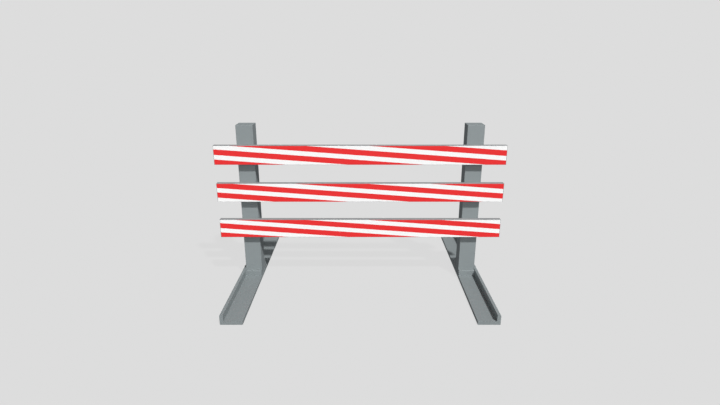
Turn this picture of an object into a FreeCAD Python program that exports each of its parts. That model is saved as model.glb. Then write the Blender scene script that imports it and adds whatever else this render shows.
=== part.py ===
import FreeCAD, Part
import os
from types import SimpleNamespace

import Sketcher
from FreeCAD import Rotation, Vector

# A type three road barricade: two box posts stand on two angle feet, and carry three striped rails.
# X runs along the rails, -Y is the striped front, +Z is up. The origin is on the ground, midway
# between the feet.

SIZES = (
    ("rail_length", 3048.0, "Rail, over its end caps"),
    ("rail_height", 203.2, "Rail, top to bottom"),
    ("rail_thickness", 57.15, "Rail with its sheeting, front to back"),
    ("rail_pitch", 406.4, "From one rail to the next"),
    ("top_rail_top", 1524.0, "Ground to the top edge of the top rail"),
    ("rail_wall", 3.2, "Wall and webs of the hollow rail"),
    ("rail_corner", 2.5, "Radius of the rail's long edges"),
    ("sheeting_thickness", 1.0, "Retroreflective sheeting"),
    ("end_cap_lid", 3.0, "Lid of a rail's end cap"),
    ("end_cap_tongue", 22.0, "Depth of an end cap's tongues"),
    ("post_spacing", 2401.0, "Between the centres of the posts"),
    ("post_width", 177.8, "Post, along the rails"),
    ("post_depth", 165.1, "Post, front to back"),
    ("post_top", 1727.2, "Ground to the top of the post cap"),
    ("post_wall", 5.0, "Wall of the post"),
    ("post_corner", 2.5, "Outer radius of the post's corners"),
    ("post_cap_lid", 6.0, "Lid of the post cap"),
    ("post_cap_skirt", 35.0, "Depth of the post cap's skirt"),
    ("post_cap_wall", 3.0, "Wall of the post cap's skirt"),
    ("foot_length", 2175.0, "Foot, front to back"),
    ("foot_thickness", 34.5, "Thickness of the foot's two legs"),
    ("foot_height", 105.0, "Height of the foot's upright leg"),
    ("flange_margin", 3.0, "Foot's flange past the post's inner side"),
    ("foot_edge", 1.5, "Radius of the foot's long edges"),
    ("foot_toe", 14.0, "Radius of the upright leg's outer top edge"),
    ("cleat_depth", 40.0, "Front cleat, front to back"),
    ("cleat_height", 61.0, "Front cleat, above the flange"),
    ("cleat_edge", 2.0, "Chamfer of the cleat's front edge"),
    ("gusset_length", 89.0, "Rear gusset, along the flange"),
    ("gusset_height", 134.0, "Rear gusset, up the post"),
    ("gusset_thickness", 12.0, "Rear gusset"),
    ("gusset_nose", 6.0, "Cut-off tips of the gusset"),
    ("base_plate_thickness", 14.0, "Plate in the foot of the post"),
    ("base_screw_inset", 32.0, "Base screws, from the post's outer sides"),
    ("base_screw_diameter", 12.0, "Thread of the base screws"),
    ("cleat_screw_diameter", 10.0, "Thread of the cleat screws"),
    ("cleat_screw_inset", 35.0, "Cleat screws, from the cleat's ends"),
    ("cleat_screw_grip", 20.0, "Depth of the cleat screws in the cleat"),
    ("side_bolt_diameter", 16.0, "Thread of the bolts through the foot's leg"),
    ("side_bolt_spacing", 84.0, "Between the side bolts"),
    ("side_plate_thickness", 12.0, "Nut plate in the post, behind the side bolts"),
    ("side_plate_length", 120.0, "Nut plate in the post, front to back"),
    ("rail_bolt_diameter", 12.0, "Thread of the rail bolts"),
    ("rail_plate_thickness", 8.0, "Nut plate inside the rail"),
    ("rail_plate_length", 60.0, "Nut plate inside the rail, along the rail"),
    ("sleeve_wall", 3.5, "Wall of the crush sleeves inside the post"),
    ("bolt_tail", 4.0, "Bolt past its nut plate"),
    ("bolt_clearance", 1.0, "Hole wider than its bolt"),
    ("thread_clearance", 0.2, "Tapped hole wider than its bolt"),
    ("fit_gap", 0.3, "Gap round a plug or a plate that slides in"),
)
CELL_COUNT = 4
SOCKET_SHARE = 0.5
SOCKET_DEPTH_SHARE = 0.45
HEAD_HEIGHT_SHARE = 0.63
HEAD_WIDTH_SHARE = 1.5
HEAD_CHAMFER_SHARE = 0.09
HEAD_REACH_SHARE = 0.65
WASHER_WIDTH_SHARE = 2.0
WASHER_THICKNESS_SHARE = 0.2
COUNTERSINK_SHARE = 2.0
COUNTERSINK_ANGLE = 90.0
HEXAGON_CORNER = 0.57735
FULL_TURN = 360.0
NEAR = 0.01
NEARLY_PARALLEL = 1e-6
LEAST_CUT = 1.0
SIDES = (("left", -1), ("right", 1))
RAILS = (("top_rail", 0), ("middle_rail", 1), ("bottom_rail", 2))


class Size:
    """A length that carries its number and its expression on the sheet together."""

    def __init__(self, number, text):
        self.number = number
        self.text = text

    def __add__(self, other):
        other = as_size(other)
        return Size(self.number + other.number, f"({self.text} + {other.text})")

    def __sub__(self, other):
        other = as_size(other)
        return Size(self.number - other.number, f"({self.text} - {other.text})")

    def __rsub__(self, other):
        return as_size(other) - self

    def __mul__(self, factor):
        return Size(self.number * factor, f"({self.text} * {factor})")

    def __truediv__(self, factor):
        return Size(self.number / factor, f"({self.text} / {factor})")

    def __neg__(self):
        return self * -1

    __radd__ = __add__
    __rmul__ = __mul__


def as_size(value):
    """A plain number as a Size."""
    return value if isinstance(value, Size) else Size(float(value), str(float(value)))


doc = FreeCAD.newDocument("type_three_barricade")
sheet = doc.addObject("Spreadsheet::Sheet", "Sizes")
for row, (alias, number, note) in enumerate(SIZES, start=1):
    sheet.set(f"A{row}", note)
    sheet.set(f"B{row}", str(number))
    sheet.setAlias(f"B{row}", alias)
doc.recompute()
d = SimpleNamespace(**{alias: Size(number, f"Sizes.{alias}") for alias, number, _ in SIZES})
pieces = []


# ---------------------------------------------------------------- building blocks

def new_body(label):
    """A sub-part, which may hold several like solids."""
    body = doc.addObject("PartDesign::Body", label)
    body.Label = label
    body.AllowCompound = True
    pieces.append(body)
    return body


def place(body, x=0.0, y=0.0, z=0.0, rotation=Rotation()):
    """Puts a sub-part where its sizes say, turned by a fixed rotation."""
    body.Placement.Rotation = rotation
    for axis, size in (("x", x), ("y", y), ("z", z)):
        body.setExpression(f".Placement.Base.{axis}", as_size(size).text)


def origin_feature(body, role):
    """One of the body's own origin planes or axes."""
    return next(item for item in body.Origin.OriginFeatures if item.Role == role)


def new_sketch(body, plane, raised=0.0):
    """A sketch on one of the body's origin planes, raised along the plane's normal."""
    sketch = body.newObject("Sketcher::SketchObject", f"{body.Name}_sketch")
    sketch.AttachmentSupport = [(origin_feature(body, plane), "")]
    sketch.MapMode = "FlatFace"
    sketch.setExpression(".AttachmentOffset.Base.z", as_size(raised).text)
    return sketch


def hold_point(sketch, geometry, position, point):
    """Fixes a point of the sketch by its two distances from the sketch's origin."""
    for kind, size in zip(("DistanceX", "DistanceY"), point):
        size = as_size(size)
        constraint = Sketcher.Constraint(kind, -1, 1, geometry, position, size.number)
        index = sketch.addConstraint(constraint)
        sketch.setExpression(f"Constraints[{index}]", size.text)


def draw_outline(sketch, points):
    """A closed outline of straight lines through the points."""
    corners = [Vector(as_size(x).number, as_size(y).number, 0) for x, y in points]
    lines = [Part.LineSegment(*ends) for ends in zip(corners, corners[1:] + corners[:1])]
    ids = sketch.addGeometry(lines, False)
    for here, following in zip(ids, ids[1:] + ids[:1]):
        sketch.addConstraint(Sketcher.Constraint("Coincident", here, 2, following, 1))
    for line, point in zip(ids, points):
        hold_point(sketch, line, 1, point)


def draw_rectangle(sketch, x_low, x_high, y_low, y_high):
    """A rectangle between four distances."""
    corners = ((x_low, y_low), (x_high, y_low), (x_high, y_high), (x_low, y_high))
    draw_outline(sketch, corners)


def draw_circle(sketch, diameter, x=0.0, y=0.0):
    """A circle of a driven diameter."""
    centre = Vector(as_size(x).number, as_size(y).number, 0)
    circle = Part.Circle(centre, Vector(0, 0, 1), diameter.number / 2)
    index = sketch.addGeometry(circle, False)
    hold_point(sketch, index, 3, (x, y))
    constraint = sketch.addConstraint(Sketcher.Constraint("Diameter", index, diameter.number))
    sketch.setExpression(f"Constraints[{constraint}]", diameter.text)


def draw_hexagon(sketch, across_flats):
    """A hexagon round the sketch's origin, with two flats across Y."""
    reach = across_flats * HEXAGON_CORNER
    half = across_flats / 2
    points = ((reach, 0), (reach / 2, half), (-reach / 2, half))
    draw_outline(sketch, points + tuple((-1 * as_size(x), -1 * as_size(y)) for x, y in points))


def pad(body, sketch, length, both_ways=False, backwards=False):
    """Adds the sketch's area, drawn out by a length."""
    feature = body.newObject("PartDesign::Pad", f"{body.Name}_pad")
    feature.Profile = sketch
    feature.SideType = "Symmetric" if both_ways else "One side"
    feature.Reversed = backwards
    feature.setExpression("Length", as_size(length).text)
    doc.recompute()


def take_away(body, kind, sketch, settings):
    """A cutting feature, which has to make the sub-part smaller."""
    doc.recompute()
    before = body.Shape.Volume
    feature = body.newObject(kind, f"{body.Name}_cut")
    feature.Profile = sketch
    for name, value in settings.items():
        if isinstance(value, Size):
            feature.setExpression(name, value.text)
        else:
            setattr(feature, name, value)
    doc.recompute()
    if not body.Shape.Volume < before - LEAST_CUT:
        raise RuntimeError(f"{feature.Name} takes nothing away from {body.Label}")


def cut_through(body, sketch, side_type="Symmetric", backwards=False):
    """Cuts the sketch's area all the way through."""
    settings = {"Type": "ThroughAll", "SideType": side_type, "Reversed": backwards}
    take_away(body, "PartDesign::Pocket", sketch, settings)


def cut_depth(body, sketch, depth, backwards=False):
    """Cuts the sketch's area to a depth."""
    settings = {"Type": "Length", "Length": depth, "Reversed": backwards}
    take_away(body, "PartDesign::Pocket", sketch, settings)


def countersunk_holes(body, diameter, places):
    """Countersunk holes, from the underside up through the sub-part."""
    sketch = new_sketch(body, "XY_Plane")
    for x, y in places:
        draw_circle(sketch, diameter, x, y)
    doc.recompute()
    settings = {
        "DepthType": "ThroughAll",
        "Reversed": True,
        "HoleCutType": "Countersink",
        "HoleCutCustomValues": True,
        "Diameter": diameter,
        "HoleCutDiameter": (diameter - d.bolt_clearance) * COUNTERSINK_SHARE,
        "HoleCutCountersinkAngle": COUNTERSINK_ANGLE,
    }
    take_away(body, "PartDesign::Hole", sketch, settings)


def round_edges(body, radius, chosen):
    """Rounds the edges that a test picks."""
    doc.recompute()
    base = body.Tip
    names = [f"Edge{n}" for n, edge in enumerate(base.Shape.Edges, start=1) if chosen(edge)]
    if not names:
        raise RuntimeError(f"{body.Label} has no such edge")
    feature = body.newObject("PartDesign::Fillet", f"{body.Name}_fillet")
    feature.Base = (base, names)
    feature.setExpression("Radius", radius.text)
    doc.recompute()


def runs_along(edge, axis):
    """True for a straight edge along the axis."""
    if not isinstance(edge.Curve, Part.Line):
        return False
    return abs(abs(edge.Curve.Direction.dot(axis)) - 1) < NEARLY_PARALLEL


def turn_profile(body, points):
    """A solid of revolution about the sub-part's Z axis."""
    sketch = new_sketch(body, "XZ_Plane")
    draw_outline(sketch, points)
    feature = body.newObject("PartDesign::Revolution", f"{body.Name}_revolution")
    feature.Profile = sketch
    feature.ReferenceAxis = (sketch, ["V_Axis"])
    feature.Angle = FULL_TURN
    doc.recompute()


def repeat(body, first, second=None):
    """Repeats the whole sub-part along one or two of its axes, each (role, distance, count)."""
    doc.recompute()
    pattern = body.newObject("PartDesign::LinearPattern", f"{body.Name}_pattern")
    pattern.TransformMode = "Whole shape"
    pattern.Direction = (origin_feature(body, first[0]), [""])
    pattern.setExpression("Length", first[1].text)
    pattern.Occurrences = first[2]
    if second:
        pattern.Direction2 = (origin_feature(body, second[0]), [""])
        pattern.setExpression("Length2", second[1].text)
        pattern.Occurrences2 = second[2]
    body.Tip = pattern
    doc.recompute()


# ---------------------------------------------------------------- fasteners

def washer_thickness(diameter):
    return diameter * WASHER_THICKNESS_SHARE


def hex_bolt(label, diameter, shank_length):
    """A hexagon bolt: seated at Z = 0, its shank runs down and its head stands up."""
    body = new_body(label)
    across_flats = diameter * HEAD_WIDTH_SHARE
    head_height = diameter * HEAD_HEIGHT_SHARE
    shank = new_sketch(body, "XY_Plane")
    draw_circle(shank, diameter)
    pad(body, shank, shank_length, backwards=True)
    head = new_sketch(body, "XY_Plane")
    draw_hexagon(head, across_flats)
    pad(body, head, head_height)
    chamfer = new_sketch(body, "XZ_Plane")
    flat_edge = across_flats / 2 - diameter * HEAD_CHAMFER_SHARE / 2
    outside = across_flats * HEAD_REACH_SHARE
    drop = (outside - flat_edge) * HEXAGON_CORNER
    draw_outline(chamfer, ((flat_edge, head_height), (outside, head_height - drop),
                           (outside, head_height)))
    settings = {"ReferenceAxis": (chamfer, ["V_Axis"]), "Angle": FULL_TURN}
    take_away(body, "PartDesign::Groove", chamfer, settings)
    return body


def washer(label, diameter):
    """A flat washer that stands on Z = 0."""
    return ring(label, diameter * WASHER_WIDTH_SHARE, diameter + d.bolt_clearance,
                washer_thickness(diameter))


def ring(label, outer_diameter, inner_diameter, length):
    """A plain ring or sleeve that stands on Z = 0."""
    body = new_body(label)
    sketch = new_sketch(body, "XY_Plane")
    draw_circle(sketch, outer_diameter)
    draw_circle(sketch, inner_diameter)
    pad(body, sketch, length)
    return body


def countersunk_screw(label, diameter, length):
    """A countersunk socket screw: its head's face is at Z = 0 and it points up."""
    body = new_body(label)
    head_radius = diameter * COUNTERSINK_SHARE / 2
    shank_radius = diameter / 2
    head_height = head_radius - shank_radius
    turn_profile(body, ((0, 0), (head_radius, 0), (shank_radius, head_height),
                        (shank_radius, length), (0, length)))
    socket = new_sketch(body, "XY_Plane")
    draw_hexagon(socket, diameter * SOCKET_SHARE)
    cut_depth(body, socket, diameter * SOCKET_DEPTH_SHARE, backwards=True)
    return body


def nut_plate(label, half_x, half_y, thickness, hole_diameter, hole_places):
    """A tapped plate that lies under Z = 0."""
    body = new_body(label)
    sketch = new_sketch(body, "XY_Plane")
    draw_rectangle(sketch, -half_x, half_x, -half_y, half_y)
    for x, y in hole_places:
        draw_circle(sketch, hole_diameter + d.thread_clearance, x, y)
    pad(body, sketch, thickness, backwards=True)
    return body


# ---------------------------------------------------------------- places shared by the pieces

post_x = d.post_spacing / 2
post_front = -d.post_depth / 2
post_rear = d.post_depth / 2
post_length = d.post_top - d.post_cap_lid - d.foot_thickness
bore_half_width = d.post_width / 2 - d.post_wall
bore_half_depth = d.post_depth / 2 - d.post_wall

rail_body_thickness = d.rail_thickness - d.sheeting_thickness
rail_body_length = d.rail_length - 2 * d.end_cap_lid
cell_pitch = (d.rail_height - d.rail_wall) / CELL_COUNT
cell_height = cell_pitch - d.rail_wall
row_offset = cell_pitch * ((CELL_COUNT - 1) / 2)
row_spacing = 2 * row_offset

base_screw_x = d.post_width / 2 - d.base_screw_inset
base_screw_y = d.post_depth / 2 - d.base_screw_inset
cleat_screw_x = d.post_width / 2 - d.cleat_screw_inset
cleat_middle = post_front - d.cleat_depth / 2
side_bolt_height = (d.foot_thickness + d.foot_height) / 2
side_plate_half = side_bolt_height - d.foot_thickness - d.base_plate_thickness

FACE_REAR = Rotation(Vector(1, 0, 0), -90)
FACE_SIDE = {-1: Rotation(Vector(0, 1, 0), -90), 1: Rotation(Vector(0, 1, 0), 90)}


def rail_bottom(index):
    """Height of the lower edge of a rail, counted from the top one."""
    return d.top_rail_top - d.rail_height - d.rail_pitch * index


def rail_rows(index):
    """Heights of a rail's two rows of bolts."""
    middle = rail_bottom(index) + d.rail_height / 2
    return middle - row_offset, middle + row_offset


def four_places(x, y):
    """The four corners of a rectangle round the origin."""
    return (-x, -y), (x, -y), (x, y), (-x, y)


# ---------------------------------------------------------------- feet and posts

def round_long_edges(body, radius, corners):
    """Rounds the edges that run along Y through the given corners of the section."""

    def is_chosen(edge):
        start = edge.Vertexes[0].Point
        offsets = ((start.x - as_size(x).number, start.z - as_size(z).number) for x, z in corners)
        at_corner = any(abs(across) < NEAR and abs(up) < NEAR for across, up in offsets)
        return runs_along(edge, Vector(0, 1, 0)) and at_corner

    round_edges(body, radius, is_chosen)


def foot_angle(label, side):
    """An L-section foot. Its upright leg is on the outer side and its flange lies under the post."""
    body = new_body(label)
    root = side * d.post_width / 2
    outer = side * (d.post_width / 2 + d.foot_thickness)
    inner = -side * (d.post_width / 2 + d.flange_margin)
    section = new_sketch(body, "XZ_Plane")
    draw_outline(section, ((outer, 0), (inner, 0), (inner, d.foot_thickness),
                           (root, d.foot_thickness), (root, d.foot_height),
                           (outer, d.foot_height)))
    pad(body, section, d.foot_length, both_ways=True)

    round_long_edges(body, d.foot_edge, ((outer, 0), (inner, 0), (inner, d.foot_thickness),
                                         (root, d.foot_height)))
    round_long_edges(body, d.foot_toe, ((outer, d.foot_height),))
    bolt_holes = new_sketch(body, "YZ_Plane")
    for y in (-d.side_bolt_spacing / 2, d.side_bolt_spacing / 2):
        draw_circle(bolt_holes, d.side_bolt_diameter + d.bolt_clearance, y, side_bolt_height)
    cut_through(body, bolt_holes)
    countersunk_holes(body, d.base_screw_diameter + d.bolt_clearance,
                      four_places(base_screw_x, base_screw_y))
    countersunk_holes(body, d.cleat_screw_diameter + d.bolt_clearance,
                      ((-cleat_screw_x, cleat_middle), (cleat_screw_x, cleat_middle)))
    place(body, side * post_x)


def post(label, side):
    """A box-section post that stands on the foot's flange."""
    body = new_body(label)
    section = new_sketch(body, "XY_Plane")
    draw_rectangle(section, -d.post_width / 2, d.post_width / 2, post_front, post_rear)
    draw_rectangle(section, -bore_half_width, bore_half_width, -bore_half_depth, bore_half_depth)
    pad(body, section, post_length)

    def is_outer_corner(edge):
        outside = abs(edge.Vertexes[0].Point.x) > bore_half_width.number + NEAR
        return runs_along(edge, Vector(0, 0, 1)) and outside

    round_edges(body, d.post_corner, is_outer_corner)
    rail_holes = new_sketch(body, "XZ_Plane")
    for _, index in RAILS:
        for row in rail_rows(index):
            draw_circle(rail_holes, d.rail_bolt_diameter + d.bolt_clearance,
                        0, row - d.foot_thickness)
    cut_through(body, rail_holes)
    side_holes = new_sketch(body, "YZ_Plane")
    for y in (-d.side_bolt_spacing / 2, d.side_bolt_spacing / 2):
        draw_circle(side_holes, d.side_bolt_diameter + d.bolt_clearance, y,
                    side_bolt_height - d.foot_thickness)
    cut_through(body, side_holes, "One side", backwards=side > 0)
    place(body, side * post_x, 0, d.foot_thickness)


def post_cap(label, side):
    """A flat lid with a skirt that plugs the top of the post."""
    body = new_body(label)
    lid = new_sketch(body, "XY_Plane")
    draw_rectangle(lid, -d.post_width / 2, d.post_width / 2, post_front, post_rear)
    pad(body, lid, d.post_cap_lid)
    round_edges(body, d.post_corner, lambda edge: runs_along(edge, Vector(0, 0, 1)))

    def is_top_edge(edge):
        return all(abs(v.Point.z - d.post_cap_lid.number) < NEAR for v in edge.Vertexes)

    round_edges(body, d.post_cap_lid / 3, is_top_edge)
    skirt = new_sketch(body, "XY_Plane")
    half_width = bore_half_width - d.fit_gap
    half_depth = bore_half_depth - d.fit_gap
    draw_rectangle(skirt, -half_width, half_width, -half_depth, half_depth)
    half_width = half_width - d.post_cap_wall
    half_depth = half_depth - d.post_cap_wall
    draw_rectangle(skirt, -half_width, half_width, -half_depth, half_depth)
    pad(body, skirt, d.post_cap_skirt, backwards=True)
    place(body, side * post_x, 0, d.foot_thickness + post_length)


def post_base_plate(label, side):
    """A tapped plate inside the lower end of the post, for the base screws."""
    body = nut_plate(label, bore_half_width - d.fit_gap, bore_half_depth - d.fit_gap,
                     d.base_plate_thickness, d.base_screw_diameter,
                     four_places(base_screw_x, base_screw_y))
    place(body, side * post_x, 0, d.foot_thickness + d.base_plate_thickness)


def base_screws(label, side):
    """Four screws from under the flange into the post's base plate."""
    body = countersunk_screw(label, d.base_screw_diameter,
                             d.foot_thickness + d.base_plate_thickness)
    repeat(body, ("X_Axis", 2 * base_screw_x, 2), ("Y_Axis", 2 * base_screw_y, 2))
    place(body, side * post_x - base_screw_x, -base_screw_y)


def front_cleat(label, side):
    """A block on the flange that the post's front stands against."""
    body = new_body(label)
    section = new_sketch(body, "YZ_Plane")
    draw_outline(section, ((0, 0), (-d.cleat_depth, 0),
                           (-d.cleat_depth, d.cleat_height - d.cleat_edge),
                           (d.cleat_edge - d.cleat_depth, d.cleat_height), (0, d.cleat_height)))
    pad(body, section, d.post_width, both_ways=True)
    holes = new_sketch(body, "XY_Plane")
    for x in (-cleat_screw_x, cleat_screw_x):
        draw_circle(holes, d.cleat_screw_diameter + d.thread_clearance, x, -d.cleat_depth / 2)
    cut_depth(body, holes, d.cleat_screw_grip + d.bolt_tail, backwards=True)
    place(body, side * post_x, post_front, d.foot_thickness)


def cleat_screws(label, side):
    """Two screws from under the flange into the front cleat."""
    body = countersunk_screw(label, d.cleat_screw_diameter, d.foot_thickness + d.cleat_screw_grip)
    repeat(body, ("X_Axis", 2 * cleat_screw_x, 2))
    place(body, side * post_x - cleat_screw_x, cleat_middle)


def rear_gusset(label, side, towards):
    """A triangular plate behind the post, level with one of its sides (towards -1 or 1 in X)."""
    body = new_body(label)
    outline = new_sketch(body, "YZ_Plane")
    draw_outline(outline, ((0, 0), (d.gusset_length, 0), (d.gusset_length, d.gusset_nose),
                           (d.gusset_nose, d.gusset_height), (0, d.gusset_height)))
    pad(body, outline, d.gusset_thickness, both_ways=True)
    offset = towards * (d.post_width / 2 - d.gusset_thickness / 2)
    place(body, side * post_x + offset, post_rear, d.foot_thickness)


def side_bolts(label, side):
    """Two bolts through the foot's upright leg into the post."""
    washer_height = washer_thickness(d.side_bolt_diameter)
    shank = (washer_height + d.foot_thickness + d.post_wall + d.side_plate_thickness
             + d.bolt_tail)
    body = hex_bolt(label, d.side_bolt_diameter, shank)
    repeat(body, ("Y_Axis", d.side_bolt_spacing, 2))
    seat = post_x + d.post_width / 2 + d.foot_thickness + washer_height
    place(body, side * seat, -d.side_bolt_spacing / 2, side_bolt_height, FACE_SIDE[side])


def side_washers(label, side):
    """The washers under the heads of the side bolts."""
    body = washer(label, d.side_bolt_diameter)
    repeat(body, ("Y_Axis", d.side_bolt_spacing, 2))
    seat = post_x + d.post_width / 2 + d.foot_thickness
    place(body, side * seat, -d.side_bolt_spacing / 2, side_bolt_height, FACE_SIDE[side])


def side_nut_plate(label, side):
    """The tapped plate inside the post that the side bolts pull on."""
    hole_y = d.side_bolt_spacing / 2
    body = nut_plate(label, side_plate_half, d.side_plate_length / 2, d.side_plate_thickness,
                     d.side_bolt_diameter, ((0, -hole_y), (0, hole_y)))
    seat = post_x + bore_half_width
    place(body, side * seat, 0, side_bolt_height, FACE_SIDE[side])


# ---------------------------------------------------------------- rails

def rail(label, index):
    """A hollow rail of four cells, one above the other, with its back on the posts."""
    body = new_body(label)
    section = new_sketch(body, "YZ_Plane")
    draw_rectangle(section, -rail_body_thickness, 0, 0, d.rail_height)
    for cell in range(CELL_COUNT):
        bottom = d.rail_wall + cell_pitch * cell
        draw_rectangle(section, d.rail_wall - rail_body_thickness, -d.rail_wall,
                       bottom, bottom + cell_height)
    pad(body, section, rail_body_length, both_ways=True)

    def is_outer_long_edge(edge):
        height = edge.Vertexes[0].Point.z
        at_edge = height < NEAR or height > d.rail_height.number - NEAR
        return runs_along(edge, Vector(1, 0, 0)) and at_edge

    round_edges(body, d.rail_corner, is_outer_long_edge)
    holes = new_sketch(body, "XZ_Plane")
    for x in (-post_x, post_x):
        for row in (-row_offset, row_offset):
            draw_circle(holes, d.rail_bolt_diameter + d.bolt_clearance,
                        x, d.rail_height / 2 + row)
    cut_depth(body, holes, d.rail_wall, backwards=True)
    place(body, 0, post_front, rail_bottom(index))


def rail_sheeting(label, index):
    """The striped retroreflective sheeting on the flat front of a rail."""
    body = new_body(label)
    outline = new_sketch(body, "XZ_Plane")
    draw_rectangle(outline, -rail_body_length / 2, rail_body_length / 2,
                   d.rail_corner, d.rail_height - d.rail_corner)
    pad(body, outline, d.sheeting_thickness)
    place(body, 0, post_front - rail_body_thickness, rail_bottom(index))


def rail_end_cap(label, index, side):
    """A cap that plugs one end of a rail, with a tongue in each cell."""
    body = new_body(label)
    lid = new_sketch(body, "YZ_Plane", raised=side * d.rail_length / 2)
    draw_rectangle(lid, -d.rail_thickness, 0, 0, d.rail_height)
    pad(body, lid, d.end_cap_lid, backwards=side > 0)
    round_edges(body, d.rail_corner, lambda edge: runs_along(edge, Vector(1, 0, 0)))
    tongues = new_sketch(body, "YZ_Plane", raised=side * rail_body_length / 2)
    for cell in range(CELL_COUNT):
        bottom = d.rail_wall + cell_pitch * cell
        draw_rectangle(tongues, d.rail_wall + d.fit_gap - rail_body_thickness,
                       -d.rail_wall - d.fit_gap, bottom + d.fit_gap,
                       bottom + cell_height - d.fit_gap)
    pad(body, tongues, d.end_cap_tongue, backwards=side > 0)
    place(body, 0, post_front, rail_bottom(index))


def at_rail_bolts(body, index, y):
    """Repeats a fastener at the four bolts of a rail, with its own Z turned to the rear."""
    repeat(body, ("X_Axis", d.post_spacing, 2), ("Y_Axis", row_spacing, 2))
    place(body, -post_x, y, rail_rows(index)[1], FACE_REAR)


def rail_bolts(label, index):
    """Four bolts that pass from behind through the posts and into the rail."""
    washer_height = washer_thickness(d.rail_bolt_diameter)
    shank = (washer_height + d.post_depth + d.rail_wall + d.rail_plate_thickness
             + d.bolt_tail)
    body = hex_bolt(label, d.rail_bolt_diameter, shank)
    at_rail_bolts(body, index, post_rear + washer_height)


def rail_washers(label, index):
    """The washers under the heads of a rail's bolts."""
    at_rail_bolts(washer(label, d.rail_bolt_diameter), index, post_rear)


def rail_crush_sleeves(label, index):
    """Sleeves round a rail's bolts that keep the walls of the posts apart."""
    bore = d.rail_bolt_diameter + d.bolt_clearance
    body = ring(label, bore + 2 * d.sleeve_wall, bore, 2 * bore_half_depth)
    at_rail_bolts(body, index, -bore_half_depth)


def rail_nut_plates(label, index):
    """Tapped plates in the cells of a rail, behind its rear wall."""
    body = nut_plate(label, d.rail_plate_length / 2, cell_height / 2 - d.fit_gap,
                     d.rail_plate_thickness, d.rail_bolt_diameter, ((0, 0),))
    at_rail_bolts(body, index, post_front - d.rail_wall)


for name, side in SIDES:
    foot_angle(f"{name}_foot_angle", side)
    post(f"{name}_post", side)
    post_cap(f"{name}_post_cap", side)
    post_base_plate(f"{name}_post_base_plate", side)
    base_screws(f"{name}_base_screws", side)
    front_cleat(f"{name}_front_cleat", side)
    cleat_screws(f"{name}_cleat_screws", side)
    rear_gusset(f"{name}_inner_gusset", side, -side)
    rear_gusset(f"{name}_outer_gusset", side, side)
    side_bolts(f"{name}_side_bolts", side)
    side_washers(f"{name}_side_washers", side)
    side_nut_plate(f"{name}_side_nut_plate", side)

for name, index in RAILS:
    rail(name, index)
    rail_sheeting(f"{name}_sheeting", index)
    for end, side in SIDES:
        rail_end_cap(f"{name}_{end}_end_cap", index, side)
    rail_bolts(f"{name}_bolts", index)
    rail_washers(f"{name}_washers", index)
    rail_crush_sleeves(f"{name}_crush_sleeves", index)
    rail_nut_plates(f"{name}_nut_plates", index)


# ---------------------------------------------------------------- checks and files

doc.recompute()
for item in doc.Objects:
    if "Invalid" in item.State or "Error" in item.State:
        raise RuntimeError(f"{item.Name} failed: {item.State}")
for piece in pieces:
    if piece.Shape.isNull() or not piece.Shape.isValid():
        raise RuntimeError(f"{piece.Label} has no valid shape")

os.makedirs("parts", exist_ok=True)
for piece in pieces:
    piece.Shape.exportStep(f"parts/{piece.Label}.step")
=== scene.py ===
"""Finishes, welds, striped sheeting and studio for a type three barricade."""

import math
import random

import bmesh
import bpy
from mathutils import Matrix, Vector


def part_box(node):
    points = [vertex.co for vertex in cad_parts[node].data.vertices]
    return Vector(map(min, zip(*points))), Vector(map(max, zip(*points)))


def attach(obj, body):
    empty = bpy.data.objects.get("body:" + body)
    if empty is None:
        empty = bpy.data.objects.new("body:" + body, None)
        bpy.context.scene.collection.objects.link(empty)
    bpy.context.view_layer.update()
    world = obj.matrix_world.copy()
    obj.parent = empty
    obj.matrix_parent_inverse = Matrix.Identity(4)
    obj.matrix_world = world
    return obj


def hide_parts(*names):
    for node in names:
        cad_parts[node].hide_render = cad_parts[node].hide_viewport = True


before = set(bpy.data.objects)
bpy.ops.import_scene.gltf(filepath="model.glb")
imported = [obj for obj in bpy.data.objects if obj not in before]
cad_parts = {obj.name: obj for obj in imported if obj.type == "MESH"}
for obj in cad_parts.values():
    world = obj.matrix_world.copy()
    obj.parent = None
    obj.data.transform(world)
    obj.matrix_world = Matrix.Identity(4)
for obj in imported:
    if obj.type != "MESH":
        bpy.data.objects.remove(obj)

bl_info = {
    "name": "Type three barricade",
    "version": (1, 0, 0),
    "blender": (4, 5, 0),
    "location": "3D View > Sidebar > Barricade",
    "description": "Dresses the barricade frame with its sheeting, welds and finishes",
    "category": "Object",
}

SIDES = ("left", "right")
RAILS = ("top_rail", "middle_rail", "bottom_rail")
ALONG_X = Vector((1, 0, 0))
ALONG_Y = Vector((0, 1, 0))
ALONG_Z = Vector((0, 0, 1))

# Sockets of a Mix node that mixes colours
FIRST_COLOUR = 6
SECOND_COLOUR = 7
MIXED_COLOUR = 2

# How finely an edge is felt for rub marks, and the camera's film width in millimetres
EDGE_SAMPLES = 4
FILM_WIDTH = 36.0

# Colours that show where a finish is rubbed, scratched, dirty or handled
RUBBED_ALUMINIUM = (0.62, 0.64, 0.65)
SCRATCHED_ALUMINIUM = (0.55, 0.57, 0.58)
ROAD_DIRT = (0.085, 0.078, 0.068)
WELD = (0.36, 0.375, 0.38)
SOOT = (0.13, 0.13, 0.13)
SCUFFED_PLASTIC = (0.42, 0.42, 0.42)
RUBBED_PLASTIC = (0.38, 0.38, 0.38)
STEEL = (0.54, 0.54, 0.53)
RUBBED_STEEL = (0.72, 0.72, 0.71)
FILM_GRIME = (0.30, 0.27, 0.24)
ROOM_TINT = (0.96, 0.98, 1.0)
WHITE = (1.0, 1.0, 1.0)

# Each light's heading, how wide it looks in degrees, and whether shiny surfaces mirror it
LIGHTS = {
    "key": ((-0.41, 0.657, -1.0), 2.5, True),
    "front_fill": ((0.05, 1.0, -0.2), 60.0, True),
    "top_fill": ((0.0, 0.1, -1.0), 90.0, True),
    "back_fill": ((0.0, -1.0, -0.15), 12.0, False),
}

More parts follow.
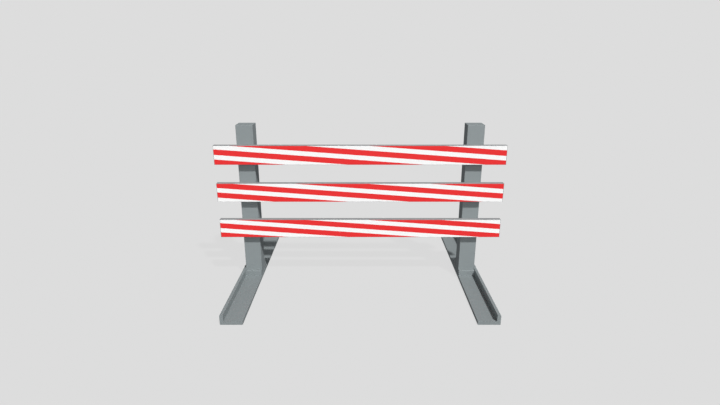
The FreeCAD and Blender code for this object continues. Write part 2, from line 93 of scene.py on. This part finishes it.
# Striped film. The red film lies on faces whose normal's Y is under FACING_FRONT
FACING_FRONT = -0.5
CORNER_STEPS = 5
NEAREST_CUT = 1e-7
CELL_STEEPNESS = 1.4

# Weld fillets, in shares of the fillet's leg unless they say otherwise
STEPS_PER_RIPPLE = 4
SECTION_STEPS = 6
FEWEST_STEPS = 8
RIPPLE_WANDER = 0.07
END_SIZE = 0.35
BELLY = 0.10
RIPPLE_CREST = 0.07
CREST_POWER = 0.6
END_GAP = 0.6
RIPPLE_LAG = 0.9  # of one ripple


# Settings


class SheetingSettings(bpy.types.PropertyGroup):
    """The striped face of the rails."""

    white: bpy.props.FloatVectorProperty(
        name="White",
        description="Colour of the white base film",
        subtype="COLOR",
        default=(0.86, 0.86, 0.855),
    )
    red: bpy.props.FloatVectorProperty(
        name="Red",
        description="Colour of the red film laid over the white",
        subtype="COLOR",
        default=(0.735, 0.027, 0.028),
    )
    pitch: bpy.props.FloatProperty(
        name="Stripe pitch",
        description="From the top of one red stripe down to the top of the next",
        default=0.1072,
        unit="LENGTH",
    )
    red_depth: bpy.props.FloatProperty(
        name="Red depth",
        description="How far down the rail one red stripe reaches",
        default=0.0590,
        unit="LENGTH",
    )
    slope: bpy.props.FloatProperty(
        name="Stripe slope",
        description="How far the stripes drop for each metre of rail",
        default=0.0743,
    )
    outer_start: bpy.props.FloatProperty(
        name="Start on the outer rails",
        description="From the rail's top edge to a red stripe at its left end",
        default=0.0380,
        unit="LENGTH",
    )
    middle_start: bpy.props.FloatProperty(
        name="Start on the middle rail",
        description="From the rail's top edge to a red stripe at its left end",
        default=0.0966,
        unit="LENGTH",
    )
    red_film: bpy.props.FloatProperty(
        name="Red film",
        description="Thickness of the red film on the white one",
        default=0.0002,
        unit="LENGTH",
    )
    corner: bpy.props.FloatProperty(
        name="Corner",
        description="Radius at the corners of the sheet",
        default=0.004,
        unit="LENGTH",
    )
    cell: bpy.props.FloatProperty(
        name="Cell",
        description="Size of one sealed cell in the reflective film",
        default=0.0042,
        unit="LENGTH",
    )


class FrameSettings(bpy.types.PropertyGroup):
    """The bare aluminium of the feet, posts, cleats and gussets."""

    colour: bpy.props.FloatVectorProperty(
        name="Aluminium",
        description="Colour of the mill finish",
        subtype="COLOR",
        default=(0.252, 0.282, 0.288),
    )
    metal: bpy.props.FloatProperty(
        name="Metal",
        description="How metallic the dull oxide skin still looks",
        default=0.35,
        subtype="FACTOR",
    )
    roughness: bpy.props.FloatProperty(
        name="Roughness",
        description="Roughness of the mill finish",
        default=0.68,
        subtype="FACTOR",
    )
    die_lines: bpy.props.FloatProperty(
        name="Die lines",
        description="Depth of the lines that the extrusion die leaves",
        default=0.00012,
        unit="LENGTH",
    )
    wear: bpy.props.FloatProperty(
        name="Edge wear",
        description="How bright the rubbed edges are",
        default=0.10,
        subtype="FACTOR",
    )
    # Darkens the faces that point up: partly dust, partly painted shade that keeps the tops darker than
    # the fronts
    dust_and_top_shade: bpy.props.FloatProperty(
        name="Dust",
        description="How much the dust on top of the parts dulls them",
        default=0.20,
        subtype="FACTOR",
    )
    road_film: bpy.props.FloatProperty(
        name="Road film",
        description="How much dirt lies on the lowest parts",
        default=0.07,
        subtype="FACTOR",
    )


class PlasticSettings(bpy.types.PropertyGroup):
    """The grey plastic of the rails and their end caps."""

    rail: bpy.props.FloatVectorProperty(
        name="Rail",
        description="Colour of the rails",
        subtype="COLOR",
        default=(0.205, 0.210, 0.213),
    )
    cap: bpy.props.FloatVectorProperty(
        name="End cap",
        description="Colour of the end caps",
        subtype="COLOR",
        default=(0.150, 0.153, 0.156),
    )


class WeldSettings(bpy.types.PropertyGroup):
    """The fillets round the gussets."""

    leg: bpy.props.FloatProperty(
        name="Leg",
        description="Width of a fillet on each of its two surfaces",
        default=0.0062,
        unit="LENGTH",
    )
    ripple: bpy.props.FloatProperty(
        name="Ripple",
        description="Distance from one ripple to the next",
        default=0.0030,
        unit="LENGTH",
    )
    seed: bpy.props.IntProperty(
        name="Seed",
        description="Changes how the ripples wander",
        default=7,
    )


class StageSettings(bpy.types.PropertyGroup):
    """Camera, floor and light."""

    camera_place: bpy.props.FloatVectorProperty(
        name="Camera place",
        description="Where the camera stands",
        subtype="TRANSLATION",
        unit="LENGTH",
        default=(-0.002, -5.123, 2.517),
    )
    camera_tilt: bpy.props.FloatProperty(
        name="Camera tilt",
        description="How far the camera looks down from level",
        subtype="ANGLE",
        default=math.radians(17.90),
    )
    lens: bpy.props.FloatProperty(
        name="Lens",
        description="Focal length in millimetres on a 36 mm sensor",
        default=24.445,
    )
    backdrop: bpy.props.FloatProperty(
        name="Backdrop",
        description="Brightness of the floor and of the wall behind",
        default=0.723,
        subtype="FACTOR",
    )
    floor_shade: bpy.props.FloatProperty(
        name="Floor shade",
        description="How much the pale floor shows the shadow of the barricade",
        default=0.06,
        subtype="FACTOR",
    )
    floor_paint: bpy.props.FloatProperty(
        name="Floor paint",
        description="Brightness of the floor's own paint, under the glow",
        default=0.495,
        subtype="FACTOR",
    )
    floor_width: bpy.props.FloatProperty(
        name="Floor width",
        description="Side of the square studio floor",
        default=80.0,
        unit="LENGTH",
    )
    key: bpy.props.FloatProperty(
        name="Key light",
        description="Strength of the light from high on the right",
        default=4.1,
    )
    front_fill: bpy.props.FloatProperty(
        name="Front fill",
        description="Strength of the wide soft light from the front",
        default=0.82,
    )
    top_fill: bpy.props.FloatProperty(
        name="Top fill",
        description="Strength of the wide soft light from above",
        default=0.25,
    )
    back_fill: bpy.props.FloatProperty(
        name="Back fill",
        description="Strength of the low light from straight behind",
        default=0.9,
    )
    room: bpy.props.FloatProperty(
        name="Room light",
        description="Brightness that the pale room gives from all round",
        default=0.235,
    )


SETTINGS = {
    "barricade_stage": StageSettings,
    "barricade_sheeting": SheetingSettings,
    "barricade_frame": FrameSettings,
    "barricade_plastic": PlasticSettings,
    "barricade_welds": WeldSettings,
}


# Shader maths


class Flow:
    """An output of one shader node, written with as a number is."""

    def __init__(self, net, socket):
        self.net = net
        self.socket = socket

    def worked(self, operation, *terms):
        """A Math node that works on the terms in order."""
        return self.net.add("ShaderNodeMath", {"operation": operation}, dict(enumerate(terms)))

    def __add__(self, other):
        return self.worked("ADD", self, other)

    __radd__ = __add__

    def __sub__(self, other):
        return self.worked("SUBTRACT", self, other)

    def __rsub__(self, other):
        return self.worked("SUBTRACT", other, self)

    def __mul__(self, other):
        return self.worked("MULTIPLY", self, other)

    __rmul__ = __mul__

    def __truediv__(self, other):
        return self.worked("DIVIDE", self, other)

    def __rtruediv__(self, other):
        return self.worked("DIVIDE", other, self)

    def __abs__(self):
        return self.worked("ABSOLUTE", self)

    def part(self):
        """What is left after the whole number."""
        return self.worked("FRACT", self)

    def smaller(self, other):
        return self.worked("MINIMUM", self, other)

    def eased(self, start, end):
        """0 at start, 1 at end, and smooth between them."""
        limits = {"Value": self, "From Min": start, "From Max": end}
        return self.net.add("ShaderNodeMapRange", {"interpolation_type": "SMOOTHSTEP"}, limits)


class NodeNet:
    """The shader nodes of a material or of the room."""

    def __init__(self, tree):
        self.tree = tree

    def add(self, kind, settings=None, inputs=None, output=0):
        """Adds a node. Its settings come first, because they decide its sockets."""
        node = self.tree.nodes.new(kind)
        for key, value in (settings or {}).items():
            setattr(node, key, value)
        for key, value in (inputs or {}).items():
            self.feed(node.inputs[key], value)
        return Flow(self, node.outputs[output])

    def feed(self, socket, value):
        """Links an output to a socket, or sets the socket to a number or colour."""
        if isinstance(value, Flow):
            self.tree.links.new(value.socket, socket)
        elif socket.type == "RGBA":
            socket.default_value = (*value, 1.0)
        else:
            socket.default_value = value

    def end_with(self, output, shader):
        """Ends the net with a shader."""
        self.feed(self.tree.nodes[output].inputs["Surface"], shader)


class Finish(NodeNet):
    """A material being made: its nodes, and the shader that they feed."""

    def __init__(self, name, **fixed):
        self.material = bpy.data.materials.new(name)
        self.material.use_nodes = True
        super().__init__(self.material.node_tree)
        self.shader = self.tree.nodes["Principled BSDF"]
        for socket, value in fixed.items():
            self.shader.inputs[socket.replace("_", " ")].default_value = value

    def place(self, stretch=(1.0, 1.0, 1.0)):
        """Position on the barricade in metres, squeezed or stretched along each axis."""
        spot = self.add("ShaderNodeTexCoord", output="Object")
        return self.add("ShaderNodeVectorMath", {"operation": "MULTIPLY"}, {0: spot, 1: stretch})

    def axis(self, name):
        """Position along one axis, in metres."""
        spot = self.add("ShaderNodeTexCoord", output="Object")
        return self.add("ShaderNodeSeparateXYZ", None, {0: spot}, name)

    def noise(self, place, scale, detail=2.0, roughness=0.5):
        inputs = {"Vector": place, "Scale": scale, "Detail": detail, "Roughness": roughness}
        return self.add("ShaderNodeTexNoise", None, inputs)

    def blend(self, share, first, second):
        """first where share is 0, second where it is 1."""
        settings = {"data_type": "RGBA"}
        inputs = {0: share, FIRST_COLOUR: first, SECOND_COLOUR: second}
        return self.add("ShaderNodeMix", settings, inputs, MIXED_COLOUR)

    def shade(self, colour, tone):
        """A colour made lighter or darker by a number."""
        settings = {"data_type": "RGBA", "blend_type": "MULTIPLY"}
        inputs = {0: 1.0, FIRST_COLOUR: colour, SECOND_COLOUR: tone}
        return self.add("ShaderNodeMix", settings, inputs, MIXED_COLOUR)

    def rubbed_edges(self, reach):
        """1 on the edges and corners that things rub against, and 0 on the flats."""
        bent = self.add("ShaderNodeBevel", {"samples": EDGE_SAMPLES}, {"Radius": reach})
        flat = self.add("ShaderNodeNewGeometry", output="Normal")
        settings = {"operation": "DOT_PRODUCT"}
        agreement = self.add("ShaderNodeVectorMath", settings, {0: bent, 1: flat}, "Value")
        return (1 - agreement).eased(start=0.01, end=0.16)

    def facing_up(self):
        """1 where the surface faces the sky, 0 where it stands upright or faces down."""
        normal = self.add("ShaderNodeNewGeometry", output="Normal")
        up = self.add("ShaderNodeSeparateXYZ", None, {0: normal}, "Z")
        return up.eased(start=0.4, end=0.95)

    def raise_surface(self, height, depth, strength):
        """Presses a height pattern into the surface, depth metres from 0 to 1."""
        inputs = {"Height": height, "Distance": depth, "Strength": strength}
        self.feed(self.shader.inputs["Normal"], self.add("ShaderNodeBump", None, inputs))

    def surface(self, **values):
        """Feeds the shader what varies over the surface, and gives the finished material."""
        for socket, value in values.items():
            self.feed(self.shader.inputs[socket.replace("_", " ")], value)
        return self.material


def squeezed(run, along, across=1.0):
    """Stretch factors for a pattern that is drawn out along one axis."""
    return tuple(along if part else across for part in run)


def mill_aluminium(name, run, settings):
    """Extruded or rolled aluminium with an oxide skin, rubbed edges, road film, and tops darkened by
    dust and painted shade.
    """
    finish = Finish(name, Metallic=settings.metal)
    place = finish.place()
    drawn = finish.place(squeezed(run, along=0.004))
    streaked = finish.place(squeezed(run, along=0.02))
    dragged = finish.place(squeezed(run, along=0.05, across=0.8))
    fine = finish.noise(drawn, scale=900.0, detail=3.0, roughness=0.7)
    broad = finish.noise(streaked, scale=60.0)
    mottle = finish.noise(place, scale=9.0, detail=5.0, roughness=0.6)
    bloom = finish.noise(place, scale=2.3, detail=3.0)
    grime = finish.noise(place, scale=24.0, detail=6.0, roughness=0.65)
    rubbing = finish.noise(place, scale=38.0, detail=4.0, roughness=0.6)
    scratch = finish.noise(dragged, scale=210.0, detail=4.0, roughness=0.75).eased(start=0.66, end=0.72)
    wear = finish.rubbed_edges(reach=0.0025) * (0.35 + rubbing)
    low_down = finish.axis("Z").eased(start=0.16, end=0.0)
    film = low_down * grime.eased(start=0.34, end=0.72) * settings.road_film
    # Faces that point up are made darker: partly dust, partly painted shade on the tops
    dust_and_top_shade = finish.facing_up() * (0.5 + 0.5 * mottle) * settings.dust_and_top_shade
    tone = 0.93 + 0.09 * fine + 0.05 * broad + 0.04 * mottle - 0.03 * bloom - dust_and_top_shade
    skin = finish.shade(settings.colour, tone)
    rubbed = finish.blend(wear * settings.wear, skin, RUBBED_ALUMINIUM)
    scratched = finish.blend(scratch * 0.18, rubbed, SCRATCHED_ALUMINIUM)
    dirty = finish.blend(film, scratched, ROAD_DIRT)
    rough = settings.roughness - 0.05 + 0.10 * mottle + 0.05 * fine - 0.12 * wear + 0.25 * film
    lines = fine * 0.6 + broad * 0.4 - scratch * 0.5
    finish.raise_surface(lines, depth=settings.die_lines, strength=0.5)
    return finish.surface(Base_Color=dirty, Roughness=rough)


def weld_metal():
    """Aluminium weld: brighter than the skin round it, with a dusting of soot."""
    finish = Finish("weld_metal", Metallic=0.7)
    place = finish.place()
    mottle = finish.noise(place, scale=120.0, detail=4.0, roughness=0.6)
    soot = finish.noise(place, scale=30.0, detail=3.0).eased(start=0.5, end=0.8)
    colour = finish.shade(WELD, 0.85 + 0.3 * mottle)
    dusty = finish.blend(soot * 0.35, colour, SOOT)
    finish.raise_surface(mottle, depth=0.0002, strength=0.4)
    return finish.surface(Base_Color=dusty, Roughness=0.34 + 0.25 * mottle)


def rail_plastic(settings):
    """Drawn plastic rail: long draw marks, a chalky bloom and handling scuffs."""
    finish = Finish("rail_plastic", IOR=1.5)
    drawn = finish.place(squeezed(ALONG_X, along=0.003))
    streaked = finish.place(squeezed(ALONG_X, along=0.03))
    handled = finish.place((0.35, 1.0, 1.3))
    fine = finish.noise(drawn, scale=700.0, detail=3.0, roughness=0.6)
    broad = finish.noise(streaked, scale=70.0)
    chalk = finish.noise(finish.place(), scale=7.0, detail=5.0, roughness=0.6)
    scuff = finish.noise(handled, scale=90.0, detail=6.0, roughness=0.78).eased(start=0.63, end=0.74)
    edges = finish.rubbed_edges(reach=0.003)
    tone = 0.88 + 0.08 * fine + 0.06 * broad + 0.12 * chalk
    skin = finish.shade(settings.rail, tone)
    scuffed = finish.blend(scuff * 0.18 + edges * 0.12, skin, SCUFFED_PLASTIC)
    finish.raise_surface(fine * 0.5 + broad * 0.5, depth=0.0002, strength=0.3)
    return finish.surface(Base_Color=scuffed, Roughness=0.46 + 0.12 * chalk + 0.10 * scuff)


def cap_plastic(settings):
    """Moulded end cap: fine spark-eroded grain and pale rubbed corners."""
    finish = Finish("end_cap_plastic", IOR=1.5)
    place = finish.place()
    grain = finish.noise(place, scale=1400.0, detail=3.0, roughness=0.6)
    flow = finish.noise(place, scale=26.0, detail=4.0, roughness=0.6)
    edges = finish.rubbed_edges(reach=0.002)
    skin = finish.shade(settings.cap, 0.86 + 0.14 * grain + 0.14 * flow)
    rubbed = finish.blend(edges * 0.22, skin, RUBBED_PLASTIC)
    finish.raise_surface(grain, depth=0.00025, strength=0.5)
    return finish.surface(Base_Color=rubbed, Roughness=0.5 + 0.14 * flow)


def fastener_steel(name, run, squeeze):
    """Stainless steel with fine marks along run, from a lathe or a brushed sheet."""
    finish = Finish(name, Metallic=0.8)
    marks = finish.place(squeezed(run, along=squeeze))
    brush = finish.noise(marks, scale=1500.0, detail=3.0, roughness=0.6)
    cloud = finish.noise(finish.place(), scale=60.0, detail=4.0, roughness=0.6)
    edges = finish.rubbed_edges(reach=0.0015)
    skin = finish.shade(STEEL, 0.84 + 0.16 * brush + 0.16 * cloud)
    bright = finish.blend(edges * 0.4, skin, RUBBED_STEEL)
    finish.raise_surface(brush, depth=0.00008, strength=0.3)
    return finish.surface(Base_Color=bright, Roughness=0.42 + 0.14 * cloud + 0.06 * brush)


def cell_ribs(finish, cell):
    """The sealed seams between the cells of reflective film, as a diamond net."""
    across = finish.axis("X")
    up = finish.axis("Z") * CELL_STEEPNESS
    falling = abs(((across + up) / cell).part() - 0.5)
    rising = abs(((across - up) / cell).part() - 0.5)
    return 1 - falling.smaller(rising).eased(start=0.03, end=0.09)


def reflective_film(name, colour, settings):
    """Prismatic reflective film with sealed cells, a glossy skin and light grime."""
    finish = Finish(name, IOR=1.45, Specular_IOR_Level=0.22)
    ribs = cell_ribs(finish, settings.cell)
    wiped = finish.place((0.5, 1.0, 1.0))
    cloud = finish.noise(finish.place(), scale=5.0, detail=4.0, roughness=0.6)
    grime = finish.noise(wiped, scale=46.0, detail=6.0, roughness=0.72).eased(start=0.62, end=0.8)
    skin = finish.shade(colour, 1.0 - 0.12 * ribs - 0.04 * cloud)
    handled = finish.blend(grime * 0.05, skin, FILM_GRIME)
    finish.raise_surface(ribs, depth=0.00012, strength=0.5)
    rough = 0.40 + 0.10 * ribs + 0.10 * cloud + 0.15 * grime
    return finish.surface(Base_Color=handled, Roughness=rough)


def dress(node, material):
    """Gives a carried-over frame part its finish."""
    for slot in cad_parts[node].material_slots:
        slot.material = material


# Mesh pieces


def add_piece(name, mesh, materials):
    """Turns a finished mesh into a piece that rides on the frame."""
    data = bpy.data.meshes.new(name)
    mesh.to_mesh(data)
    mesh.free()
    for material in materials:
        data.materials.append(material)
    piece = bpy.data.objects.new(name, data)
    bpy.context.scene.collection.objects.link(piece)
    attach(piece, "root")
    return piece


def rounded_outline(low, high, radius):
    """Points round an upright rectangle with rounded corners, as (x, z)."""
    centres = [
        (high.x - radius, high.z - radius, 0),
        (low.x + radius, high.z - radius, 90),
        (low.x + radius, low.z + radius, 180),
        (high.x - radius, low.z + radius, 270),
    ]
    points = []
    for x, z, first in centres:
        for step in range(CORNER_STEPS + 1):
            turn = math.radians(first + 90 * step / CORNER_STEPS)
            points.append((x + radius * math.cos(turn), z + radius * math.sin(turn)))
    return points


def grow(mesh, faces, move):
    """Draws faces out of the mesh along move."""
    grown = bmesh.ops.extrude_face_region(mesh, geom=faces)
    moved = [part for part in grown["geom"] if isinstance(part, bmesh.types.BMVert)]
    bmesh.ops.translate(mesh, verts=moved, vec=move)


def plain_sheet(low, high, corner):
    """The flat sheet of one rail's face, before it is striped."""
    mesh = bmesh.new()
    outline = rounded_outline(low, high, corner)
    back = mesh.faces.new([mesh.verts.new((x, high.y, z)) for x, z in outline])
    grow(mesh, [back], (0, low.y - high.y, 0))
    bmesh.ops.recalc_face_normals(mesh, faces=mesh.faces[:])
    return mesh


def cut_sloping(mesh, x, z, slope):
    """Cuts the whole mesh along a line through (x, z) that drops by slope for each metre."""
    parts = mesh.verts[:] + mesh.edges[:] + mesh.faces[:]
    across = Vector((slope, 0, 1)).normalized()
    spot = Vector((x, 0, z))
    bmesh.ops.bisect_plane(mesh, geom=parts, dist=NEAREST_CUT, plane_co=spot, plane_no=across)


def striped_sheet(rail, start, settings, films):
    """One rail's face, cut along its stripes, with the red film laid on the white."""
    node = rail + "_sheeting"
    low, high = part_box(node)
    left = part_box(rail + "_left_end_cap")[0].x
    first_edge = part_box(rail)[1].z - start
    mesh = plain_sheet(low, high, settings.corner)

    def stripes_down(x, z):
        return (first_edge - z - settings.slope * (x - left)) / settings.pitch

    topmost = math.floor(stripes_down(high.x, high.z))
    lowest = math.ceil(stripes_down(low.x, low.z))
    for number in range(topmost, lowest + 1):
        for edge in (0.0, settings.red_depth):
            height = first_edge - number * settings.pitch - edge
            cut_sloping(mesh, left, height, settings.slope)
    red_share = settings.red_depth / settings.pitch
    covered = []
    for face in mesh.faces:
        centre = face.calc_center_median()
        if stripes_down(centre.x, centre.z) % 1.0 < red_share:
            face.material_index = 1
            if face.normal.y < FACING_FRONT:
                covered.append(face)
    grow(mesh, covered, (0, -settings.red_film, 0))
    bmesh.ops.delete(mesh, geom=covered, context="FACES_ONLY")
    piece = add_piece(rail + "_striped_film", mesh, films)
    piece.visible_diffuse = False  # so that no red light falls on the feet
    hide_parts(node)


def weld_bead(mesh, start, end, first, second, settings, dice):
    """A rippled fillet in an inside corner; first and second point away along its two sides."""
    length = (end - start).length
    run = (end - start) / length
    count = max(FEWEST_STEPS, round(length / settings.ripple * STEPS_PER_RIPPLE))
    rings = []
    for index in range(count + 1):
        if index % STEPS_PER_RIPPLE == 0:
            swell = 1.0 + dice.uniform(-RIPPLE_WANDER, RIPPLE_WANDER)
        along = length * index / count
        from_end = min(along, length - along)
        fade = min(1.0, END_SIZE + from_end / settings.leg)
        crest = abs(math.sin(math.pi * index / STEPS_PER_RIPPLE)) ** CREST_POWER
        leg = settings.leg * swell * fade
        ring = [mesh.verts.new(start + run * along)]
        for step in range(SECTION_STEPS + 1):
            share = step / SECTION_STEPS
            belly = math.sin(math.pi * share)
            bulge = belly * settings.leg * fade * (BELLY + RIPPLE_CREST * crest)
            lag = run * min(belly * settings.ripple * RIPPLE_LAG, along)
            spot = first * (leg * (1 - share) + bulge) + second * (leg * share + bulge)
            ring.append(mesh.verts.new(start + run * along + spot - lag))
        rings.append(ring)
    close_tube(mesh, rings)


def close_tube(mesh, rings):
    """Skins a row of rings of vertices, and closes both ends."""
    for before, after in zip(rings, rings[1:]):
        for index in range(len(before)):
            following = (index + 1) % len(before)
            corners = (before[index], before[following], after[following], after[index])
            mesh.faces.new(corners).smooth = True
    mesh.faces.new(rings[0])
    mesh.faces.new(rings[-1][::-1])


def gusset_welds(side, which, settings, dice):
    """The two fillets on each face of one gusset: down the post and along the flange."""
    low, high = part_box(side + "_" + which + "_gusset")
    post_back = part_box(side + "_post")[1].y
    gap = settings.leg * END_GAP
    mesh = bmesh.new()
    for x, outward in ((low.x, -ALONG_X), (high.x, ALONG_X)):
        corner = Vector((x, post_back, low.z))
        up = Vector((x, post_back, high.z - gap))
        back = Vector((x, high.y - gap, low.z))
        weld_bead(mesh, corner, up, outward, ALONG_Y, settings, dice)
        weld_bead(mesh, corner, back, outward, ALONG_Z, settings, dice)
    bmesh.ops.recalc_face_normals(mesh, faces=mesh.faces[:])
    return mesh


# Operators


class BARRICADE_OT_stage(bpy.types.Operator):
    """Sets up the camera, the pale floor and the studio lights"""

    bl_idname = "barricade.stage"
    bl_label = "Stage"

    def execute(self, context):
        settings = context.scene.barricade_stage
        scene = context.scene
        scene.view_settings.view_transform = "Standard"
        add_camera(scene, settings)
        add_floor(scene, settings)
        add_room(scene, settings)
        for name, (heading, spread, mirrored) in LIGHTS.items():
            add_sun(scene, name, getattr(settings, name), heading, spread, mirrored)
        return {"FINISHED"}


def add_camera(scene, settings):
    lens = bpy.data.cameras.new("camera")
    lens.sensor_width = FILM_WIDTH
    lens.lens = settings.lens
    camera = bpy.data.objects.new("camera", lens)
    camera.location = settings.camera_place
    level = math.radians(90)
    camera.rotation_euler = (level - settings.camera_tilt, 0, 0)
    scene.collection.objects.link(camera)
    scene.camera = camera


def add_floor(scene, settings):
    """A wide pale floor that glows evenly and takes only a faint shadow."""
    half = settings.floor_width / 2
    mesh = bmesh.new()
    corners = [(-half, -half), (half, -half), (half, half), (-half, half)]
    mesh.faces.new([mesh.verts.new((x, y, 0)) for x, y in corners])
    data = bpy.data.meshes.new("studio_floor")
    mesh.to_mesh(data)
    mesh.free()
    data.materials.append(pale_floor(settings))
    floor = bpy.data.objects.new("studio_floor", data)
    floor.visible_diffuse = False
    floor.visible_glossy = False
    scene.collection.objects.link(floor)


def pale_floor(settings):
    finish = Finish("pale_floor")
    glow = finish.add("ShaderNodeEmission", None, {"Color": (settings.backdrop,) * 3})
    matt = finish.add("ShaderNodeBsdfDiffuse", None, {"Color": (settings.floor_paint,) * 3})
    both = finish.add("ShaderNodeMixShader", None, {0: settings.floor_shade, 1: glow, 2: matt})
    finish.end_with("Material Output", both)
    finish.tree.nodes.remove(finish.shader)
    return finish.material


def add_room(scene, settings):
    """A pale wall behind the floor, and the dimmer light that the room gives back."""
    world = bpy.data.worlds.new("room")
    world.use_nodes = True
    net = NodeNet(world.node_tree)
    net.tree.nodes.remove(net.tree.nodes["Background"])
    seen_inputs = {"Color": WHITE, "Strength": settings.backdrop}
    given_inputs = {"Color": ROOM_TINT, "Strength": settings.room}
    seen = net.add("ShaderNodeBackground", None, seen_inputs)
    given = net.add("ShaderNodeBackground", None, given_inputs)
    looked_at = net.add("ShaderNodeLightPath", output="Is Camera Ray")
    both = net.add("ShaderNodeMixShader", None, {0: looked_at, 1: given, 2: seen})
    net.end_with("World Output", both)
    scene.world = world


def add_sun(scene, name, strength, heading, spread, mirrored):
    """A distant light that shines along heading; spread is how wide it looks, in degrees."""
    lamp = bpy.data.lights.new(name, "SUN")
    lamp.energy = strength
    lamp.angle = math.radians(spread)
    light = bpy.data.objects.new(name, lamp)
    light.rotation_mode = "QUATERNION"
    light.rotation_quaternion = Vector(heading).to_track_quat("-Z", "Y")
    light.visible_glossy = mirrored
    scene.collection.objects.link(light)


class BARRICADE_OT_sheeting(bpy.types.Operator):
    """Lays the red and white reflective film on the three rails"""

    bl_idname = "barricade.sheeting"
    bl_label = "Striped sheeting"

    def execute(self, context):
        settings = context.scene.barricade_sheeting
        films = [
            reflective_film("white_film", settings.white, settings),
            reflective_film("red_film", settings.red, settings),
        ]
        starts = (settings.outer_start, settings.middle_start, settings.outer_start)
        for rail, start in zip(RAILS, starts):
            striped_sheet(rail, start, settings, films)
        return {"FINISHED"}


class BARRICADE_OT_rails(bpy.types.Operator):
    """Gives the three hollow rails their drawn plastic finish"""

    bl_idname = "barricade.rails"
    bl_label = "Rails"

    def execute(self, context):
        plastic = rail_plastic(context.scene.barricade_plastic)
        for rail in RAILS:
            dress(rail, plastic)
        return {"FINISHED"}


class BARRICADE_OT_end_caps(bpy.types.Operator):
    """Gives the six end caps their moulded grain"""

    bl_idname = "barricade.end_caps"
    bl_label = "End caps"

    def execute(self, context):
        plastic = cap_plastic(context.scene.barricade_plastic)
        for rail in RAILS:
            for side in SIDES:
                dress(rail + "_" + side + "_end_cap", plastic)
        return {"FINISHED"}


class BARRICADE_OT_posts(bpy.types.Operator):
    """Gives the two box posts and their caps a mill finish"""

    bl_idname = "barricade.posts"
    bl_label = "Posts"

    def execute(self, context):
        settings = context.scene.barricade_frame
        upright = mill_aluminium("post_aluminium", ALONG_Z, settings)
        lid = mill_aluminium("post_cap_aluminium", ALONG_X, settings)
        for side in SIDES:
            dress(side + "_post", upright)
            dress(side + "_post_cap", lid)
        return {"FINISHED"}


class BARRICADE_OT_feet(bpy.types.Operator):
    """Gives the two foot angles a mill finish with lines along the foot"""

    bl_idname = "barricade.feet"
    bl_label = "Feet"

    def execute(self, context):
        aluminium = mill_aluminium("foot_aluminium", ALONG_Y, context.scene.barricade_frame)
        for side in SIDES:
            dress(side + "_foot_angle", aluminium)
        return {"FINISHED"}


class BARRICADE_OT_cleats_and_gussets(bpy.types.Operator):
    """Finishes the cleats, gussets and base plates at the foot of each post"""

    bl_idname = "barricade.cleats_and_gussets"
    bl_label = "Cleats and gussets"

    def execute(self, context):
        settings = context.scene.barricade_frame
        bar = mill_aluminium("cleat_aluminium", ALONG_X, settings)
        plate = mill_aluminium("plate_aluminium", ALONG_Y, settings)
        for side in SIDES:
            dress(side + "_front_cleat", bar)
            dress(side + "_inner_gusset", plate)
            dress(side + "_outer_gusset", plate)
            dress(side + "_post_base_plate", plate)
        return {"FINISHED"}


class BARRICADE_OT_welds(bpy.types.Operator):
    """Runs the weld fillets round the gussets"""

    bl_idname = "barricade.welds"
    bl_label = "Gusset welds"

    def execute(self, context):
        settings = context.scene.barricade_welds
        dice = random.Random(settings.seed)
        metal = weld_metal()
        for side in SIDES:
            for which in ("inner", "outer"):
                mesh = gusset_welds(side, which, settings, dice)
                add_piece(side + "_" + which + "_gusset_welds", mesh, [metal])
        return {"FINISHED"}


class BARRICADE_OT_fasteners(bpy.types.Operator):
    """Finishes the bolts, screws, washers, sleeves and nut plates"""

    bl_idname = "barricade.fasteners"
    bl_label = "Fasteners"

    def execute(self, context):
        turned = fastener_steel("turned_steel", ALONG_Y, squeeze=0.02)
        blanked = fastener_steel("blanked_steel", ALONG_X, squeeze=0.03)
        for rail in RAILS:
            dress(rail + "_bolts", turned)
            dress(rail + "_crush_sleeves", turned)
            dress(rail + "_washers", blanked)
            dress(rail + "_nut_plates", blanked)
        for side in SIDES:
            dress(side + "_base_screws", turned)
            dress(side + "_cleat_screws", turned)
            dress(side + "_side_bolts", turned)
            dress(side + "_side_washers", blanked)
            dress(side + "_side_nut_plate", blanked)
        return {"FINISHED"}


OPERATORS = (
    BARRICADE_OT_stage,
    BARRICADE_OT_sheeting,
    BARRICADE_OT_rails,
    BARRICADE_OT_end_caps,
    BARRICADE_OT_posts,
    BARRICADE_OT_feet,
    BARRICADE_OT_cleats_and_gussets,
    BARRICADE_OT_welds,
    BARRICADE_OT_fasteners,
)


class BARRICADE_PT_panel(bpy.types.Panel):
    """Lists the steps that dress the barricade, and what they can be set to"""

    bl_idname = "BARRICADE_PT_panel"
    bl_label = "Type three barricade"
    bl_space_type = "VIEW_3D"
    bl_region_type = "UI"
    bl_category = "Barricade"

    def draw(self, context):
        for name in SETTINGS:
            settings = getattr(context.scene, name)
            box = self.layout.box()
            for key in settings.bl_rna.properties.keys():
                if key not in ("rna_type", "name"):
                    box.prop(settings, key)
        for operator in OPERATORS:
            self.layout.operator(operator.bl_idname)


def register():
    for settings in SETTINGS.values():
        bpy.utils.register_class(settings)
    for name, settings in SETTINGS.items():
        setattr(bpy.types.Scene, name, bpy.props.PointerProperty(type=settings))
    for operator in OPERATORS:
        bpy.utils.register_class(operator)
    bpy.utils.register_class(BARRICADE_PT_panel)


def unregister():
    bpy.utils.unregister_class(BARRICADE_PT_panel)
    for operator in reversed(OPERATORS):
        bpy.utils.unregister_class(operator)
    for name in SETTINGS:
        delattr(bpy.types.Scene, name)
    for settings in reversed(SETTINGS.values()):
        bpy.utils.unregister_class(settings)


def corners(bounds):
    return [list(corner) for corner in bounds]


def main():
    """Makes every piece."""
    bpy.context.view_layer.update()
    register()
    bpy.ops.barricade.stage()
    bpy.ops.barricade.sheeting()
    bpy.ops.barricade.rails()
    bpy.ops.barricade.end_caps()
    bpy.ops.barricade.posts()
    bpy.ops.barricade.feet()
    bpy.ops.barricade.cleats_and_gussets()
    bpy.ops.barricade.welds()
    bpy.ops.barricade.fasteners()


if __name__ == "__main__":
    main()
